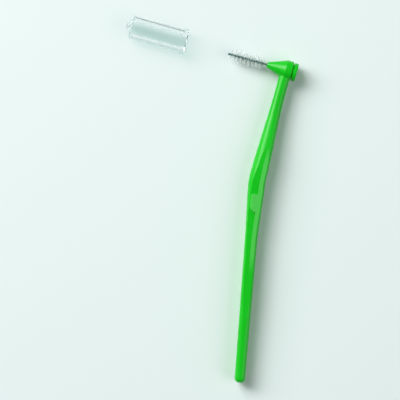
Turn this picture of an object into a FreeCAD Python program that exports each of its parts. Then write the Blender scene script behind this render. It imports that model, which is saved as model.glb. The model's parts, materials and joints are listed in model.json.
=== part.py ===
"""Angled interdental brush, lying on its flat side with its protective cap pulled off.

The origin is on the lower flat side, at the middle of the grip's raised pad.
+Y runs up the handle towards the head, +X away from the wire, +Z up through the thickness.
"""

import FreeCAD, Part
import math
import os
from FreeCAD import Placement, Rotation, Vector

# Handle, in millimetres and degrees
HANDLE_THICKNESS = 6.0      # between the two flat sides
TAIL_LENGTH = 61.3          # corner of the elbow to the end of the tail
NECK_LENGTH = 34.6          # corner of the elbow to the axis of the wire
NECK_LEAN = 11.0            # turn of the neck at the elbow
ELBOW_RADIUS = 24.0
TAIL_END_WIDTH = 3.1
TAIL_END_THICKNESS = 5.0
TAIL_END_ROUNDING = 1.2
TAIL_WIDTH = 3.7            # where the grip begins to swell
GRIP_WIDTH = 5.1            # at the elbow
GRIP_OFFSET = 0.3           # the grip swells more towards its back
GRIP_BELOW = 20.0           # elbow to the lower end of the grip
GRIP_ABOVE = 27.0           # elbow to where the grip has run out into the neck
FLAT_BELOW = 30.0           # elbow to where the tail begins to thin
FLAT_ABOVE = 4.0            # elbow to where the neck begins to thin
SIDE_CROWN = 0.2            # stands proud of each side before the flats are cut
NECK_WIDTH = 3.35
NECK_THICKNESS = 3.8
TAIL_EDGE = 1.3             # edge radii of the handle's section
GRIP_FRONT_EDGE = 2.8
GRIP_BACK_EDGE = 1.2
NECK_EDGE = 1.5

# Finger scoop in both flat sides, with the raised pad in it and a band left along the back
PAD_BELOW_ELBOW = 7.0       # elbow to the middle of the pad
PAD_LENGTH = 5.6
PAD_INSET = 0.9             # front edge of the grip to the pad
PAD_UPPER_CORNER = 0.5
PAD_LOWER_CORNER = 2.2
BAND_WIDTH = 1.8
SCOOP_DEPTH = 0.5
UPPER_SCOOP_LENGTH = 8.8    # from the pad to where the scoop runs out
LOWER_SCOOP_LENGTH = 11.5

# Head
CONE_LENGTH = 5.8
CONE_TIP_DIAMETER = 1.6
CONE_TIP_ROUNDING = 0.25
HEAD_DIAMETER = 5.9
BARREL_LENGTH = 2.0
BARREL_ROUNDING = 0.25
HEAD_BEHIND_TIP = 6.1       # tip of the cone to the middle of the neck

# Plug at the back of the head
FLANGE_DIAMETER = 5.5
FLANGE_THICKNESS = 1.2
FLANGE_ROUNDING = 0.35
GROOVE_WIDTH = 0.28         # shadow line between the barrel and the flange
GROOVE_DEPTH = 0.4
SPIGOT_DIAMETER = 2.6
SPIGOT_LENGTH = 2.4
WIRE_GRIP_LENGTH = 1.6      # length of the wire's cut ends inside the spigot
SEAT_CLEARANCE = 0.02       # all round the spigot and the wire

# Twisted wire and filaments
WIRE_LENGTH = 12.3          # free length, cone to tip
STRAND_DIAMETER = 0.35
FILAMENT_LAYER = 0.10       # room between the two strands
TWIST_PITCH = 2.4
BRISTLE_DIAMETER = 4.0
BRISTLE_END_DIAMETER = 3.0
BRISTLE_END_TAPER = 1.2
BRISTLE_SETBACK = 0.9       # bare wire at either end of the bristles
BRISTLE_CLEARANCE = 0.02    # between the filaments and each strand

# Protective cap
CAP_BORE = 4.9
CAP_WIDTH = 7.0
CAP_EDGE = 2.5
CAP_END_WALL = 0.9
CAP_END_ROUNDING = 0.7
CAP_OVERLAP = 4.0           # how far the seated cap reaches over the cone
CAP_TIP_CLEARANCE = 0.6     # wire tip to the end wall, seated
CAP_BEAD_WIDTH = 7.8
CAP_BEAD_LENGTH = 1.4
CAP_MOUTH_CHAMFER = 0.2
CAP_NUB_DIAMETER = 2.2
CAP_NUB_LENGTH = 1.0
CAP_VENT_DIAMETER = 0.9
CAP_REST_GAP = 13.0         # wire tip to the mouth of the cap at rest

# Worked-out places
MIDDLE = HANDLE_THICKNESS / 2
ELBOW = Vector(-GRIP_OFFSET, PAD_BELOW_ELBOW, MIDDLE)
NECK_WAY = Vector(math.sin(math.radians(NECK_LEAN)), math.cos(math.radians(NECK_LEAN)), 0)
WIRE_WAY = Vector(-NECK_WAY.y, NECK_WAY.x, 0)
CONE_TIP = ELBOW + NECK_WAY * NECK_LENGTH + WIRE_WAY * HEAD_BEHIND_TIP
TO_HEAD = Placement(CONE_TIP, Rotation(Vector(1, 0, 0), WIRE_WAY))
BARREL_BACK = -CONE_LENGTH - BARREL_LENGTH
STRAND_OFFSET = (STRAND_DIAMETER + FILAMENT_LAYER) / 2
WIRE_DIAMETER = 2 * STRAND_DIAMETER + FILAMENT_LAYER
WIRE_BORE = WIRE_DIAMETER + 2 * SEAT_CLEARANCE
WIRE_ROOT = BARREL_BACK + SPIGOT_LENGTH - WIRE_GRIP_LENGTH
CAP_DEPTH = CAP_OVERLAP + WIRE_LENGTH + CAP_TIP_CLEARANCE
CAP_MOUTH = WIRE_LENGTH + CAP_REST_GAP
CAP_TRAVEL = CAP_MOUTH + CAP_OVERLAP

ALONG = Vector(1, 0, 0)
ACROSS = Vector(0, 1, 0)
UP = Vector(0, 0, 1)

# How closely the curved shapes are followed
MOST_ROUNDING = 0.45        # largest edge radius, as a share of a section's side
TAIL_STATIONS = 5
GRIP_STATIONS = 24
BAND_STATIONS = 12
BIARCS_PER_TURN = 4
RIM_SPANS_PER_TURN = 4
POINTS_PER_RIM_SPAN = 4
SAME_PLACE = 1e-6


def blend(low, high, share):
    """Ease from low to high as share goes from 0 to 1."""
    share = min(max(share, 0.0), 1.0)
    return low + (high - low) * share * share * (3 - 2 * share)


def arc(start, middle, end):
    return Part.Arc(start, middle, end).toShape()


def line(start, end):
    return Part.LineSegment(start, end).toShape()


def rounded_rectangle(centre, across, up, width, thickness, back_radius, front_radius):
    """Closed wire, width along across and thickness along up, with its own radius at back and front."""
    room = min(2 * MOST_ROUNDING * width / (back_radius + front_radius), 1.0)
    edges = []
    corners = [(1, 1), (-1, 1), (-1, -1), (1, -1)]
    starts = []
    ends = []
    for side, level in corners:
        radius = min(room * (back_radius if side > 0 else front_radius), MOST_ROUNDING * thickness)
        diagonal = radius * math.sqrt(0.5)
        hub = centre + across * side * (width / 2 - radius) + up * level * (thickness / 2 - radius)
        out = hub + across * side * radius
        top = hub + up * level * radius
        middle = hub + across * side * diagonal + up * level * diagonal
        first, last = (out, top) if side == level else (top, out)
        edges.append(arc(first, middle, last))
        starts.append(first)
        ends.append(last)
    for number in range(4):
        edges.append(line(ends[number], starts[(number + 1) % 4]))
    return Part.Wire(Part.__sortEdges__(edges))


def turned(points):
    """Solid of revolution about the X axis from (along, radius) corners."""
    corners = [Vector(along, radius, 0) for along, radius in points]
    face = Part.Face(Part.makePolygon(corners + corners[:1]))
    return face.revolve(Vector(0, 0, 0), ALONG, 360)


def rod(start, length, diameter):
    return Part.makeCylinder(diameter / 2, length, Vector(start, 0, 0), ALONG)


def edges_at(shape, along, radius):
    """Full circles about the X axis at one place and radius."""
    found = []
    for edge in shape.Edges:
        round_edge = isinstance(edge.Curve, Part.Circle)
        if round_edge and abs(edge.Curve.Center.x - along) < SAME_PLACE:
            if abs(edge.Curve.Radius - radius) < SAME_PLACE:
                found.append(edge)
    return found


# Handle: one moulding of tail, grip, elbow, neck and head
def spine(distance):
    """Point and heading of the handle's centre line, measured from the elbow's corner."""
    lean = math.radians(NECK_LEAN)
    tangent = ELBOW_RADIUS * math.tan(lean / 2)
    if distance <= -tangent:
        return ELBOW + ACROSS * distance, 0.0
    if distance >= tangent:
        return ELBOW + NECK_WAY * distance, lean
    turn = lean * (distance + tangent) / (2 * tangent)
    bent = Vector(ELBOW_RADIUS * (1 - math.cos(turn)), ELBOW_RADIUS * math.sin(turn), 0)
    return ELBOW - ACROSS * tangent + bent, turn


def swell(distance):
    """Share of the grip's swell: none at its two ends, all of it at the elbow."""
    return 1 + distance / GRIP_BELOW if distance < 0 else 1 - distance / GRIP_ABOVE


def section_sizes(distance):
    """Width and thickness of the handle, and its edge radius at the back and at the front."""
    full_thickness = HANDLE_THICKNESS + 2 * SIDE_CROWN
    if distance < 0:
        along_tail = (distance + TAIL_LENGTH) / (TAIL_LENGTH - GRIP_BELOW)
        to_flat = (distance + TAIL_LENGTH) / (TAIL_LENGTH - FLAT_BELOW)
        slim_width = TAIL_END_WIDTH + (TAIL_WIDTH - TAIL_END_WIDTH) * min(along_tail, 1.0)
        slim_edge = TAIL_EDGE
        thickness = blend(TAIL_END_THICKNESS, full_thickness, to_flat)
    else:
        from_flat = (distance - FLAT_ABOVE) / (GRIP_ABOVE - FLAT_ABOVE)
        slim_width = NECK_WIDTH
        slim_edge = NECK_EDGE
        thickness = blend(full_thickness, NECK_THICKNESS, from_flat)
    width = blend(slim_width, GRIP_WIDTH, swell(distance))
    back_edge = blend(slim_edge, GRIP_BACK_EDGE, swell(distance))
    front_edge = blend(slim_edge, GRIP_FRONT_EDGE, swell(distance))
    return width, thickness, back_edge, front_edge


def section_middle(distance):
    """Middle of the handle's section, and the direction across it from front to back."""
    point, turn = spine(distance)
    across = Vector(math.cos(turn), -math.sin(turn), 0)
    return point + across * blend(0.0, GRIP_OFFSET, swell(distance)), across


def handle_section(distance):
    middle, across = section_middle(distance)
    return rounded_rectangle(middle, across, UP, *section_sizes(distance))


def inside_edge(distance, side, inset):
    """Place on the lower flat side, inset from the handle's front (-1) or back (1) edge."""
    width = section_sizes(distance)[0]
    middle, across = section_middle(distance)
    place = middle + across * side * (width / 2 - inset)
    return Vector(place.x, place.y, 0)


def spaced(start, end, steps):
    return [start + (end - start) * step / steps for step in range(steps)]


def build_scoop():
    """Cutter for the lower flat side, open at the grip's front edge and ramped at both ends."""
    pad_end = PAD_LENGTH / 2
    low = -pad_end - LOWER_SCOOP_LENGTH
    high = pad_end + UPPER_SCOOP_LENGTH
    reach = 2 * GRIP_WIDTH
    slope = [Vector(-reach, low, 0), Vector(-reach, -pad_end, SCOOP_DEPTH),
             Vector(-reach, pad_end, SCOOP_DEPTH), Vector(-reach, high, 0)]
    ramps = Part.Face(Part.makePolygon(slope + slope[:1])).extrude(ALONG * reach * 2)

    stations = spaced(low - reach, high + reach, BAND_STATIONS)
    band = Part.BSplineCurve()
    band.interpolate([inside_edge(along - PAD_BELOW_ELBOW, 1, BAND_WIDTH) for along in stations])
    band = band.toShape()
    bottom, top = band.Vertexes[0].Point, band.Vertexes[-1].Point
    out = ALONG * -reach
    sides = [line(top, top + out), line(top + out, bottom + out), line(bottom + out, bottom)]
    plan = Part.Face(Part.Wire([band] + sides)).extrude(UP * SCOOP_DEPTH)

    front = inside_edge(-PAD_BELOW_ELBOW, -1, PAD_INSET).x
    pad = Part.makeBox(reach, PAD_LENGTH, SCOOP_DEPTH, Vector(front, -pad_end, 0))
    for end, radius in ((pad_end, PAD_UPPER_CORNER), (-pad_end, PAD_LOWER_CORNER)):
        middle = Vector(front, end, SCOOP_DEPTH / 2)
        corner = [edge for edge in pad.Edges if edge.CenterOfMass.isEqual(middle, SAME_PLACE)]
        pad = pad.makeFillet(radius, corner)
    return plan.common(ramps).cut(pad)


def stretch(start, end, steps):
    """Loft of the handle's sections from one distance along the spine to another."""
    stations = spaced(start, end, steps) + [end]
    return Part.makeLoft([handle_section(distance) for distance in stations], True, False)


def build_handle():
    tail = stretch(-TAIL_LENGTH, -GRIP_BELOW, TAIL_STATIONS)
    end_face = min(tail.Faces, key=lambda face: face.CenterOfMass.y)
    tail = tail.makeFillet(TAIL_END_ROUNDING, end_face.Edges)
    grip = stretch(-GRIP_BELOW, GRIP_ABOVE, GRIP_STATIONS)
    neck = Part.Face(handle_section(GRIP_ABOVE)).extrude(NECK_WAY * (NECK_LENGTH - GRIP_ABOVE))

    head = turned([
        (0, 0), (0, CONE_TIP_DIAMETER / 2), (-CONE_LENGTH, HEAD_DIAMETER / 2),
        (BARREL_BACK, HEAD_DIAMETER / 2), (BARREL_BACK, 0)])
    head = head.makeFillet(CONE_TIP_ROUNDING, edges_at(head, 0, CONE_TIP_DIAMETER / 2))
    head = head.makeFillet(BARREL_ROUNDING, edges_at(head, BARREL_BACK, HEAD_DIAMETER / 2))
    head.Placement = TO_HEAD
    handle = neck.fuse(head).fuse(grip).fuse(tail)

    reach = 2 * (TAIL_LENGTH + NECK_LENGTH)
    slab = Part.makeBox(reach, reach, HANDLE_THICKNESS, Vector(-reach / 2, -reach / 2, 0))
    handle = handle.common(slab)

    scoop = build_scoop()
    cutters = [scoop, scoop.mirror(Vector(0, 0, MIDDLE), UP)]

    socket_depth = SPIGOT_LENGTH + SEAT_CLEARANCE
    socket = rod(BARREL_BACK, socket_depth, SPIGOT_DIAMETER + 2 * SEAT_CLEARANCE)
    bore = rod(BARREL_BACK, -BARREL_BACK, WIRE_BORE)
    for cutter in (socket, bore):
        cutter.Placement = TO_HEAD
        cutters.append(cutter)
    return handle.cut(cutters)


# Plug: flange and spigot that close the head from behind and hold the wire's cut ends
def build_plug():
    collar = FLANGE_DIAMETER / 2 - GROOVE_DEPTH
    front = BARREL_BACK + SPIGOT_LENGTH
    flange_front = BARREL_BACK - GROOVE_WIDTH
    flange_back = flange_front - FLANGE_THICKNESS
    plug = turned([
        (front, 0), (front, SPIGOT_DIAMETER / 2), (BARREL_BACK, SPIGOT_DIAMETER / 2),
        (BARREL_BACK, collar), (flange_front, collar), (flange_front, FLANGE_DIAMETER / 2),
        (flange_back, FLANGE_DIAMETER / 2), (flange_back, 0)])
    plug = plug.makeFillet(FLANGE_ROUNDING, edges_at(plug, flange_back, FLANGE_DIAMETER / 2))
    hole_start = WIRE_ROOT - STRAND_DIAMETER / 2 - SEAT_CLEARANCE
    plug = plug.cut(rod(hole_start, front - hole_start, WIRE_BORE))
    plug.Placement = TO_HEAD
    return plug


# Wire: one strand folded double at the tip and twisted, its two cut ends in the plug
def strand_at(along, side):
    """Point and direction of one side of the twist."""
    turn = 2 * math.pi * along / TWIST_PITCH
    reach = STRAND_OFFSET * side
    point = Vector(along, reach * math.cos(turn), reach * math.sin(turn))
    rate = 2 * math.pi / TWIST_PITCH
    way = Vector(1, -reach * rate * math.sin(turn), reach * rate * math.cos(turn))
    return point, way.normalize()


def arc_along(start, way, end):
    """Middle point of the arc that leaves start along way and reaches end."""
    chord = end - start
    unit = Vector(chord).normalize()
    side = (way - unit * way.dot(unit)).normalize()
    swing = math.acos(min(1.0, way.dot(unit)))
    return (start + end) * 0.5 + side * (chord.Length / 2 * math.tan(swing / 2))


def biarc_joint(start, start_way, end, end_way):
    """Point where the two arcs of a biarc meet."""
    chord = end - start
    ways = start_way + end_way
    bend = 2 * (1 - start_way.dot(end_way))
    lean = chord.dot(ways)
    reach = (math.sqrt(lean * lean + bend * chord.dot(chord)) - lean) / bend
    return (start + end) * 0.5 + (start_way - end_way) * (reach / 2)


def biarc(start, start_way, end, end_way):
    joint = biarc_joint(start, start_way, end, end_way)
    first = arc(start, arc_along(start, start_way, joint), joint)
    second = arc(joint, arc_along(end, end_way * -1, joint), end)
    return [first, second]


def fold_height():
    """How far the fold at the tip rises past the ends of the twist."""
    out, out_way = strand_at(0, 1)
    back, back_way = strand_at(0, -1)
    return biarc_joint(out, out_way, back, back_way * -1).x


def build_wire():
    twist_end = WIRE_LENGTH - STRAND_DIAMETER / 2 - fold_height()
    pieces = math.ceil((twist_end - WIRE_ROOT) / TWIST_PITCH * BIARCS_PER_TURN)
    places = spaced(WIRE_ROOT, twist_end, pieces) + [twist_end]
    path = []
    for low, high in zip(places, places[1:]):
        path += biarc(*strand_at(low, 1), *strand_at(high, 1))
    out, out_way = strand_at(twist_end, 1)
    back, back_way = strand_at(twist_end, -1)
    path += biarc(out, out_way, back, back_way * -1)
    for high, low in zip(places[::-1], places[-2::-1]):
        top, top_way = strand_at(high, -1)
        bottom, bottom_way = strand_at(low, -1)
        path += biarc(top, top_way * -1, bottom, bottom_way * -1)
    start, start_way = strand_at(WIRE_ROOT, 1)
    section = Part.Wire(Part.makeCircle(STRAND_DIAMETER / 2, start, start_way))
    route = Part.Wire(path)
    wire = route.makePipeShell([section], True, False)
    expected = math.pi * STRAND_DIAMETER ** 2 / 4 * route.Length
    print("wire volume against section times length:", round(wire.Volume / expected, 4))
    wire.Placement = TO_HEAD
    return wire


# Filaments: one layer clamped between the strands, so it turns with them
def filament_corners(along):
    """Corners of the layer's section, wide across the axis and as thin as its clamp."""
    from_end = min(along - BRISTLE_SETBACK, WIRE_LENGTH - BRISTLE_SETBACK - along)
    width = blend(BRISTLE_END_DIAMETER, BRISTLE_DIAMETER, from_end / BRISTLE_END_TAPER)
    half_layer = FILAMENT_LAYER / 2 - BRISTLE_CLEARANCE
    turn = 2 * math.pi * along / TWIST_PITCH
    through = Vector(0, math.cos(turn), math.sin(turn)) * half_layer
    wide = Vector(0, -math.sin(turn), math.cos(turn)) * (width / 2)
    centre = Vector(along, 0, 0)
    return [centre + wide + through, centre - wide + through,
            centre - wide - through, centre + wide - through]


def build_filaments():
    start = BRISTLE_SETBACK
    end = WIRE_LENGTH - BRISTLE_SETBACK
    spans = math.ceil((end - start) / TWIST_PITCH * RIM_SPANS_PER_TURN)
    places = spaced(start, end, spans * POINTS_PER_RIM_SPAN) + [end]
    sections = [filament_corners(along) for along in places]
    rims = []
    for corner in range(4):
        curve = Part.BSplineCurve()
        curve.interpolate([section[corner] for section in sections])
        joints = [curve.parameter(section[corner]) for section in sections[::POINTS_PER_RIM_SPAN]]
        rims.append([curve.toShape(low, high) for low, high in zip(joints, joints[1:])])
    same_way = 1
    faces = []
    for corner in range(4):
        for first, second in zip(rims[corner - 1], rims[corner]):
            faces.append(Part.makeRuledSurface(first, second, same_way))
    for section in (sections[0], sections[-1]):
        faces.append(Part.Face(Part.makePolygon(section + section[:1])))
    layer = Part.makeSolid(Part.makeShell(faces))
    layer.Placement = TO_HEAD
    return layer


# Protective cap: clear tube with a round bore, flat top and bottom, and a vented nub
def build_cap():
    length = CAP_DEPTH + CAP_END_WALL
    end = CAP_MOUTH + length

    def block(start, width, long):
        sizes = width, HANDLE_THICKNESS, CAP_EDGE, CAP_EDGE
        wire = rounded_rectangle(Vector(start, 0, 0), ACROSS, UP, *sizes)
        return Part.Face(wire).extrude(ALONG * long)

    tube = block(CAP_MOUTH, CAP_WIDTH, length)
    end_face = max(tube.Faces, key=lambda face: face.CenterOfMass.x)
    tube = tube.makeFillet(CAP_END_ROUNDING, end_face.Edges)
    tube = tube.fuse(block(CAP_MOUTH, CAP_BEAD_WIDTH, CAP_BEAD_LENGTH))
    nub_start = end - CAP_END_WALL / 2
    tube = tube.fuse(rod(nub_start, end + CAP_NUB_LENGTH - nub_start, CAP_NUB_DIAMETER))
    mouth = Part.makeCone(
        CAP_BORE / 2 + CAP_MOUTH_CHAMFER, CAP_BORE / 2, CAP_MOUTH_CHAMFER,
        Vector(CAP_MOUTH, 0, 0), ALONG)
    bore = rod(CAP_MOUTH, CAP_DEPTH, CAP_BORE)
    vent = rod(CAP_MOUTH, length + CAP_NUB_LENGTH, CAP_VENT_DIAMETER)
    cap = tube.cut([mouth, bore, vent]).removeSplitter()
    cap.Placement = TO_HEAD
    return cap


PIECES = {
    "handle": build_handle,
    "head_plug": build_plug,
    "twisted_wire": build_wire,
    "filaments": build_filaments,
    "protective_cap": build_cap,
}

os.makedirs("parts", exist_ok=True)
for name, build in PIECES.items():
    piece = build()
    piece.exportStep("parts/" + name + ".step")
    print(name, "solids", len(piece.Solids), "valid", piece.isValid(), "mm3", round(piece.Volume, 3))
print("cap mouth at rest", CONE_TIP + WIRE_WAY * CAP_MOUTH, "travel", CAP_TRAVEL, "towards", WIRE_WAY * -1)
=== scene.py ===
"""Looks of an angled interdental brush, lying on a pale floor with its clear cap pulled off."""

import bpy
import json
import math
import random
from mathutils import Matrix, Vector


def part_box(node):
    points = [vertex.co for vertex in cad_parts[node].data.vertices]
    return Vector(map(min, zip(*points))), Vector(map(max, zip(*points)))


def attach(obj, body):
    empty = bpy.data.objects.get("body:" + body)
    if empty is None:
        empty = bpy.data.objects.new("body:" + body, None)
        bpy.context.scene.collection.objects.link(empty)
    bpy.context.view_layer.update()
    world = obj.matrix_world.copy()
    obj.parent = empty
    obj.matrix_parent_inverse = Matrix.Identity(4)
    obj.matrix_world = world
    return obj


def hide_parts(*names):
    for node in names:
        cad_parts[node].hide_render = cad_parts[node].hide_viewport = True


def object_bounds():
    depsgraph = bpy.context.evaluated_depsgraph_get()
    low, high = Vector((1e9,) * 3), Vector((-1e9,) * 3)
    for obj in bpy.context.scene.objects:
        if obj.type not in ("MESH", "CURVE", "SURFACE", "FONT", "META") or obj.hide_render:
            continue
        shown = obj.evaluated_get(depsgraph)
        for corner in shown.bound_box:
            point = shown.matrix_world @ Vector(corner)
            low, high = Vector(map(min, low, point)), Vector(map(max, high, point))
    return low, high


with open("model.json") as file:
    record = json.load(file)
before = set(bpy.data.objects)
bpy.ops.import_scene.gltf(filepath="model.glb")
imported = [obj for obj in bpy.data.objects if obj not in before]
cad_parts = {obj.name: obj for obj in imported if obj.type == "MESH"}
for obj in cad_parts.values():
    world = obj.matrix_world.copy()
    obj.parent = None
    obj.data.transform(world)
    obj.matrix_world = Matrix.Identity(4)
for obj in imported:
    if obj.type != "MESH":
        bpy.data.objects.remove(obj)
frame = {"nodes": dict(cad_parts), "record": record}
cad_low, cad_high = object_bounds()


# Handle: one injection moulding in green polypropylene, from the tail to the cone of the head.
# The mould is polished, apart from its two flat faces, which are lightly etched, so the band
# along the back of the grip and the raised pad come out more matt than the scoop. Their paler
# green is painted sheen: the pale veil of light that the matt skin scatters is painted into the
# colour.
GREEN = (0.003, 0.53, 0.008, 1)
DEEP_GREEN = (0.003, 0.50, 0.007, 1)
PLASTIC_IOR = 1.49
PLASTIC_SHINE = 0.36
PLASTIC_DEPTH = 0.12
DEPTH_TINT = (0.4, 1.0, 0.4)
DEPTH_REACH = 0.0008
FLOW_MARKS_PER_METRE = 70
FLOW_FROM, FLOW_TO = 0.25, 0.75
POLISH_SMOOTH, POLISH_ROUGH = 0.32, 0.37
SKIN_GRAINS_PER_METRE = 9000
SKIN_RELIEF = 0.00001
SKIN_STRENGTH = 0.6
POLISHED_SKIN = 0.15
# The paler, greyer green below is painted sheen, standing in for light scattered by the etched skin.
ETCHED_SHEEN_GREEN = (0.10, 0.56, 0.10, 1)
ETCHED_SHEEN_SHARE = 0.55
ETCHED_SKIN = 0.7
ETCH_ADDED_ROUGHNESS = 0.28
ETCH_EDGE = 0.00002
ETCH_FADE = 0.008
BAND_EDGE = 0.0001
TAIL_BAND_SIDE = -0.00025
NECK_BAND_SIDE = 0.0009
NECK_LEAN = math.radians(11)
ELBOW = Vector((-0.0003, 0.007, 0))
SCOOPS_FROM, SCOOPS_TO = -0.0143, 0.0116
SHALLOW_END = 0.0009
PARTING_LINE = 0.0001
PARTING_RELIEF = 0.00003
PARTING_STRENGTH = 0.5


def feed(tree, target, inputs):
    """Set a node's inputs to values, or link them to other nodes' outputs."""
    for name, value in inputs.items():
        if isinstance(value, bpy.types.NodeSocket):
            tree.links.new(value, target.inputs[name])
        else:
            target.inputs[name].default_value = value


def node(tree, kind, inputs, **options):
    """Add a shader node with its options, and feed its inputs."""
    made = tree.nodes.new("ShaderNode" + kind)
    for name, value in options.items():
        setattr(made, name, value)
    feed(tree, made, inputs)
    return made


def sums(tree, operation, first, second=0.0):
    """Work out one sum, such as a product, on two values."""
    return node(tree, "Math", {0: first, 1: second}, operation=operation).outputs[0]


def ramp(tree, value, start, end, low=0.0, high=1.0):
    """Go smoothly from low to high while value goes from start to end."""
    inputs = {"Value": value, "From Min": start, "From Max": end, "To Min": low, "To Max": high}
    return node(tree, "MapRange", inputs, interpolation_type="SMOOTHSTEP").outputs["Result"]


def mixed(tree, share, first, second):
    """Colour between first and second."""
    return node(tree, "Mix", {0: share, 6: first, 7: second}, data_type="RGBA").outputs[2]


def clouds(tree, coordinates, per_metre, detail):
    """Soft cloudy pattern, with about so many patches to the metre."""
    inputs = {"Vector": coordinates, "Scale": per_metre, "Detail": detail}
    return node(tree, "TexNoise", inputs).outputs["Fac"]


def relief(tree, height, distance, strength, **under):
    """Normal of a surface that rises with height, on top of the Normal under it, if any."""
    inputs = {"Strength": strength, "Distance": distance, "Height": height, **under}
    return node(tree, "Bump", inputs).outputs["Normal"]


def finish_named(name):
    """A new material with its node tree, its shader and its Object coordinates."""
    material = bpy.data.materials.new(name)
    material.use_nodes = True
    tree = material.node_tree
    coordinates = node(tree, "TexCoord", {}).outputs["Object"]
    return material, tree, tree.nodes["Principled BSDF"], coordinates


def moulded_green(name):
    """Polished green plastic with faint flow marks, a fine skin and a little depth."""
    material, tree, shader, coordinates = finish_named(name)
    flow = clouds(tree, coordinates, FLOW_MARKS_PER_METRE, detail=1.0)
    skin = clouds(tree, coordinates, SKIN_GRAINS_PER_METRE, detail=2.0)
    colour = mixed(tree, ramp(tree, flow, FLOW_FROM, FLOW_TO), DEEP_GREEN, GREEN)
    roughness = ramp(tree, flow, FLOW_FROM, FLOW_TO, POLISH_SMOOTH, POLISH_ROUGH)
    feed(tree, shader, {
        "IOR": PLASTIC_IOR,
        "Specular IOR Level": PLASTIC_SHINE,
        "Subsurface Weight": PLASTIC_DEPTH,
        "Subsurface Radius": DEPTH_TINT,
        "Subsurface Scale": DEPTH_REACH,
    })
    return material, tree, shader, coordinates, colour, roughness, skin


def dress(piece, material):
    """Give a piece this material alone."""
    piece.data.materials.clear()
    piece.data.materials.append(material)


handle = frame["nodes"]["handle"]
handle_low, handle_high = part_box("handle")
mid_height = (handle_low.z + handle_high.z) / 2
half_height = (handle_high.z - handle_low.z) / 2

material, tree, shader, coordinates, colour, roughness, skin = moulded_green("handle_plastic")
spot = node(tree, "SeparateXYZ", {0: coordinates}).outputs
from_middle = sums(tree, "ABSOLUTE", sums(tree, "SUBTRACT", spot["Z"], mid_height))
on_flat = ramp(tree, from_middle, half_height - 2 * ETCH_EDGE, half_height - ETCH_EDGE)

neck_side = Vector((math.cos(NECK_LEAN), -math.sin(NECK_LEAN), 0))
neck_edge = ELBOW.dot(neck_side) + NECK_BAND_SIDE
across_neck = node(tree, "VectorMath", {0: coordinates, 1: neck_side}, operation="DOT_PRODUCT")
neck_band = ramp(tree, across_neck.outputs["Value"], neck_edge - BAND_EDGE, neck_edge)
neck_fade = ramp(tree, spot["Y"], SCOOPS_TO, SCOOPS_TO + ETCH_FADE, 1.0, 0.0)
tail_band = ramp(tree, spot["X"], TAIL_BAND_SIDE - BAND_EDGE, TAIL_BAND_SIDE)
tail_fade = ramp(tree, spot["Y"], SCOOPS_FROM - ETCH_FADE, SCOOPS_FROM)
below_end = ramp(tree, spot["Y"], SCOOPS_TO - 2 * SHALLOW_END, SCOOPS_TO - SHALLOW_END, 1.0, 0.0)
above_end = ramp(tree, spot["Y"], SCOOPS_FROM + SHALLOW_END, SCOOPS_FROM + 2 * SHALLOW_END)
upper_etch_and_sheen = sums(tree, "MAXIMUM", below_end, sums(tree, "MULTIPLY", neck_band, neck_fade))
lower_etch_and_sheen = sums(tree, "MAXIMUM", above_end, sums(tree, "MULTIPLY", tail_band, tail_fade))
etched_and_sheen = sums(tree, "MULTIPLY", on_flat, sums(tree, "MULTIPLY", upper_etch_and_sheen, lower_etch_and_sheen))

seam = ramp(tree, from_middle, 0.0, PARTING_LINE, 1.0, 0.0)
parting = relief(tree, seam, PARTING_RELIEF, PARTING_STRENGTH)
skin_share = sums(tree, "ADD", sums(tree, "MULTIPLY", etched_and_sheen, ETCHED_SKIN), POLISHED_SKIN)
grain = sums(tree, "MULTIPLY", skin, skin_share)
added_roughness = sums(tree, "MULTIPLY", etched_and_sheen, ETCH_ADDED_ROUGHNESS)
feed(tree, shader, {
    # Painted sheen: the etched faces get a paler green in place of the light that their matt skin
    # scatters.
    "Base Color": mixed(tree, sums(tree, "MULTIPLY", etched_and_sheen, ETCHED_SHEEN_SHARE), colour, ETCHED_SHEEN_GREEN),
    "Roughness": sums(tree, "ADD", added_roughness, roughness),
    "Normal": relief(tree, grain, SKIN_RELIEF, SKIN_STRENGTH, Normal=parting),
})
dress(handle, material)


# Head plug: a small flanged moulding in the same green plastic, pushed into the back of the head.
# It closes the socket behind the cone and holds the two cut ends of the wire.
PLUG_SKIN_STRENGTH = 0.3

plug = frame["nodes"]["head_plug"]
material, tree, shader, coordinates, colour, roughness, skin = moulded_green("plug_plastic")
feed(tree, shader, {
    "Base Color": colour,
    "Roughness": roughness,
    "Normal": relief(tree, skin, SKIN_RELIEF, PLUG_SKIN_STRENGTH),
})
dress(plug, material)


# Twisted wire: a steel strand with a thin dark plastic coat, folded double and twisted,
# so that it grips the filaments between its two halves.
COAT_TEAL = (0.012, 0.115, 0.105, 1)
COAT_GREY = (0.040, 0.185, 0.165, 1)
COAT_PATCHES_PER_METRE = 2500
COAT_FROM, COAT_TO = 0.4, 0.65
COAT_SMOOTH, COAT_ROUGH = 0.25, 0.42
COAT_GLOSS = 0.4
COAT_GLOSS_ROUGHNESS = 0.2
WEAR_FROM, WEAR_TO = 0.3, 0.7

wire = frame["nodes"]["twisted_wire"]
material, tree, shader, coordinates = finish_named("wire_coat")
patches = clouds(tree, coordinates, COAT_PATCHES_PER_METRE, detail=3.0)
feed(tree, shader, {
    "Base Color": mixed(tree, ramp(tree, patches, COAT_FROM, COAT_TO), COAT_TEAL, COAT_GREY),
    "Roughness": ramp(tree, patches, WEAR_FROM, WEAR_TO, COAT_SMOOTH, COAT_ROUGH),
    "Coat Weight": COAT_GLOSS,
    "Coat Roughness": COAT_GLOSS_ROUGHNESS,
})
dress(wire, material)


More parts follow.
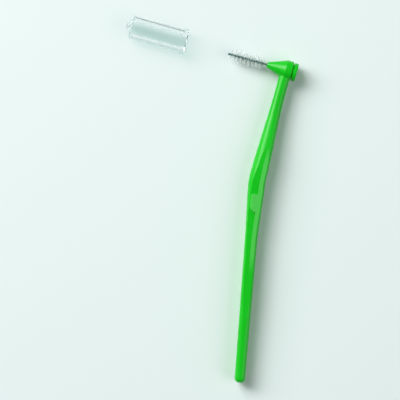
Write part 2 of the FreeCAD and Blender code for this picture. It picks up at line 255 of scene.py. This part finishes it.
# Filaments: several hundred fine clear nylon filaments, laid side by side across the wire
# before it is twisted. The twist winds their layer into a screw, so they stand out all round.
NYLON = (0.88, 0.95, 0.92, 1)
NYLON_SHADE = (0.74, 0.86, 0.81, 1)
NYLON_PATCHES_PER_METRE = 1800
NYLON_FROM, NYLON_TO = 0.4, 0.6
NYLON_SMOOTH, NYLON_ROUGH = 0.28, 0.45
NYLON_IOR = 1.53
NYLON_GLOW_REACH = 0.0001
NYLON_COVER = 0.3
FILAMENT_DIAMETER = 0.000075
FILAMENT_SIDES = 5
FILAMENT_SPACING = 0.000032
FILAMENT_CUTS = (-0.36, -0.17, 0.17, 0.36)
FILAMENT_ENDS = (-0.5, 0.5)
FILAMENT_BOW = 0.00018
CUT_END = 0.7
NEAR_RING = 0.01
SMOOTH_UNDER = math.radians(80)
TWIST_PITCH = 0.0024
SCREW_SETBACK = 0.0009
BRUSH_DIAMETER = 0.0039
BRUSH_END_DIAMETER = 0.0029
BRUSH_END_TAPER = 0.0012
LAYER_THICKNESS = 0.00004
SPREAD_TURN = math.radians(4)
SPREAD_TILT = math.radians(5)
SHORTEST = 0.93
FILAMENT_SEED = 5

cap_bore = next(mount for mount in frame["record"]["mounts"] if mount["name"] == "cap_bore")
axis_point = Vector(cap_bore["pos_m"])
wire_way = -Vector(cap_bore["axis"]).normalized()
up = Vector((0, 0, 1))
sideways = up.cross(wire_way)
layer_points = frame["nodes"]["filaments"].data.vertices
along_wire = [(vertex.co - axis_point).dot(wire_way) for vertex in layer_points]
brush_start, brush_end = min(along_wire), max(along_wire)


def pick_ring(mesh, ring):
    """In edit mode, select just the points of the ring at this place along the filament."""
    bpy.ops.mesh.select_all(action="DESELECT")
    bpy.ops.object.mode_set(mode="OBJECT")
    for vertex in mesh.vertices:
        vertex.select = abs(vertex.co.z - ring) < NEAR_RING
    bpy.ops.object.mode_set(mode="EDIT")


bpy.ops.object.select_all(action="DESELECT")
bpy.ops.mesh.primitive_cylinder_add(vertices=FILAMENT_SIDES, radius=FILAMENT_DIAMETER / 2, depth=1.0)
one_filament = bpy.context.object
one_filament.name = "filament"
bpy.ops.object.mode_set(mode="EDIT")
bpy.ops.mesh.select_mode(type="VERT")
for cut in FILAMENT_CUTS:
    bpy.ops.mesh.select_all(action="SELECT")
    bpy.ops.mesh.bisect(plane_co=(0, 0, cut), plane_no=(0, 0, 1))
for ring in FILAMENT_CUTS + FILAMENT_ENDS:
    pick_ring(one_filament.data, ring)
    bpy.ops.transform.translate(value=(FILAMENT_BOW * (2 * ring) ** 2, 0, 0))
for end in FILAMENT_ENDS:
    pick_ring(one_filament.data, end)
    bpy.ops.transform.resize(value=(CUT_END, CUT_END, 1), center_override=(FILAMENT_BOW, 0, end))
bpy.ops.object.mode_set(mode="OBJECT")
bpy.ops.object.shade_smooth_by_angle(angle=SMOOTH_UNDER)

chance = random.Random(FILAMENT_SEED)
copies = []
count = round((brush_end - brush_start) / FILAMENT_SPACING)
for number in range(count):
    along = brush_start + (brush_end - brush_start) * (number + 0.5) / count
    from_end = min(along - brush_start, brush_end - along)
    share = min(from_end / BRUSH_END_TAPER, 1.0)
    fullness = share * share * (3 - 2 * share)
    length = BRUSH_END_DIAMETER + (BRUSH_DIAMETER - BRUSH_END_DIAMETER) * fullness
    length *= chance.uniform(SHORTEST, 1.0)
    screw = 2 * math.pi * (along - brush_start + SCREW_SETBACK) / TWIST_PITCH
    turn = screw + chance.gauss(0, 1) * SPREAD_TURN
    across = sideways * -math.sin(turn) + up * math.cos(turn)
    across += wire_way * math.tan(chance.uniform(-1, 1) * SPREAD_TILT)
    through = across.cross(wire_way).normalized() * chance.uniform(-0.5, 0.5) * LAYER_THICKNESS
    moved = Matrix.Translation(axis_point + wire_way * along + through)
    turned = across.to_track_quat("Z", "Y").to_matrix().to_4x4()
    rolled = Matrix.Rotation(chance.uniform(0, 2 * math.pi), 4, "Z")
    copy = one_filament.copy()
    copy.data = one_filament.data.copy()
    copy.matrix_world = moved @ turned @ rolled @ Matrix.Diagonal((1, 1, length, 1))
    bpy.context.collection.objects.link(copy)
    copies.append(copy)

bpy.data.objects.remove(one_filament)
bpy.ops.object.select_all(action="DESELECT")
for copy in copies:
    copy.select_set(True)
bpy.context.view_layer.objects.active = copies[0]
bpy.ops.object.join()
bristles = bpy.context.object
bristles.name = "bristles"
bpy.ops.object.transform_apply(location=True, rotation=True, scale=True)

material, tree, shader, coordinates = finish_named("nylon")
patches = clouds(tree, coordinates, NYLON_PATCHES_PER_METRE, detail=2.0)
feed(tree, shader, {
    "Base Color": mixed(tree, ramp(tree, patches, NYLON_FROM, NYLON_TO), NYLON_SHADE, NYLON),
    "Roughness": ramp(tree, patches, WEAR_FROM, WEAR_TO, NYLON_SMOOTH, NYLON_ROUGH),
    "IOR": NYLON_IOR,
    "Subsurface Weight": 1.0,
    "Subsurface Radius": (1, 1, 1),
    "Subsurface Scale": NYLON_GLOW_REACH,
    "Alpha": NYLON_COVER,
})
dress(bristles, material)
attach(bristles, "brush")
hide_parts("filaments")


# Protective cap: one clear moulding with a round bore, a bead at its mouth and a vented nub.
# It slides over the filaments and rests on the cone of the head.
CLEAR = (0.95, 0.985, 0.98, 1)
CLEAR_SHADOW = (0.90, 0.94, 0.93, 1)
CLEAR_SMOOTH, CLEAR_ROUGH = 0.03, 0.09
CLEAR_BOUNCES = 5.5    # after these, light goes straight on, or the edges turn black
CAP_WAVES_PER_METRE = 500
CAP_WAVE_RELIEF = 0.00002
CAP_WAVE_STRENGTH = 0.15

cap = frame["nodes"]["protective_cap"]
material, tree, shader, coordinates = finish_named("clear_cap")
waves = clouds(tree, coordinates, CAP_WAVES_PER_METRE, detail=2.0)
feed(tree, shader, {
    "Base Color": CLEAR,
    "Roughness": ramp(tree, waves, WEAR_FROM, WEAR_TO, CLEAR_SMOOTH, CLEAR_ROUGH),
    "IOR": PLASTIC_IOR,
    "Transmission Weight": 1.0,
    "Normal": relief(tree, waves, CAP_WAVE_RELIEF, CAP_WAVE_STRENGTH),
})
ray = node(tree, "LightPath", {}).outputs
seen = shader.outputs["BSDF"]
passing = node(tree, "BsdfTransparent", {"Color": CLEAR_SHADOW}).outputs[0]
bounced_enough = sums(tree, "GREATER_THAN", ray["Ray Depth"], CLEAR_BOUNCES)
straight_on = sums(tree, "MAXIMUM", ray["Is Diffuse Ray"], bounced_enough)
to_floor = node(tree, "MixShader", {0: straight_on, 1: seen, 2: passing}).outputs[0]
to_lamp = node(tree, "MixShader", {0: ray["Is Shadow Ray"], 1: to_floor, 2: passing}).outputs[0]
feed(tree, tree.nodes["Material Output"], {"Surface": to_lamp})
dress(cap, material)


# Floor, lamps and camera: a plain pale floor in a dim room, which looks paler through the cap,
# a large soft lamp at the upper left, a lower one at the left and a weak one at the right.
# A long lens looks square onto the brush's flat side, turned as the brush leans.
FLOOR_COLOUR = (0.75, 0.84, 0.82, 1)
FLOOR_ROUGHNESS = 0.9
FLOOR_SHINE = 0.1
FLOOR_SIZE = 6.0
FLOOR_GAP = 0.00002
SKY = (0.75, 0.82, 0.85, 1)
SKY_STRENGTH = 0.12
SKY_IN_CLEAR = 0.3
HALF_A_PASS = 0.5
LEAN = math.radians(4.6)
LENS = 200.0
SENSOR = 36.0
FRAME_HEIGHT = 0.121

bpy.ops.object.select_all(action="DESELECT")
bpy.ops.mesh.primitive_plane_add(size=FLOOR_SIZE, location=(0, 0, handle_low.z - FLOOR_GAP))
floor = bpy.context.object
floor.name = "floor"
material, tree, shader, coordinates = finish_named("pale_floor")
feed(tree, shader, {
    "Base Color": FLOOR_COLOUR,
    "Roughness": FLOOR_ROUGHNESS,
    "Specular IOR Level": FLOOR_SHINE,
})
dress(floor, material)

scene = bpy.context.scene
scene.view_settings.view_transform = "Standard"
world = bpy.data.worlds.new("soft_room")
world.use_nodes = True
room = world.node_tree
room_ray = node(room, "LightPath", {}).outputs
past_clear = sums(room, "GREATER_THAN", room_ray["Transmission Depth"], HALF_A_PASS)
not_floor = sums(room, "SUBTRACT", 1.0, room_ray["Is Diffuse Ray"])
seen_in_clear = sums(room, "MULTIPLY", past_clear, not_floor)
brightness = ramp(room, seen_in_clear, 0.0, 1.0, SKY_STRENGTH, SKY_IN_CLEAR)
feed(room, room.nodes["Background"], {"Color": SKY, "Strength": brightness})
scene.world = world

middle = (cad_low + cad_high) / 2


def lamp(name, offset, size, power):
    """Square soft lamp, placed from the middle of the object and turned towards it."""
    light = bpy.data.lights.new(name, "AREA")
    light.size = size
    light.energy = power
    lamp_object = bpy.data.objects.new(name, light)
    lamp_object.location = middle + Vector(offset)
    lamp_object.rotation_euler = (-Vector(offset)).to_track_quat("-Z", "Y").to_euler()
    bpy.context.collection.objects.link(lamp_object)


lamp("key", offset=(-0.78, 0.78, 1.05), size=0.90, power=20.0)
lamp("low", offset=(-1.00, 0.42, 0.62), size=0.60, power=7.5)
lamp("fill", offset=(0.95, -0.20, 0.80), size=1.00, power=6.0)

camera_data = bpy.data.cameras.new("camera")
camera_data.lens = LENS
camera_data.sensor_width = SENSOR
camera = bpy.data.objects.new("camera", camera_data)
distance = FRAME_HEIGHT * LENS / SENSOR
camera.location = (middle.x, middle.y, mid_height + distance)
camera.rotation_euler = (0, 0, LEAN)
bpy.context.collection.objects.link(camera)
scene.camera = camera
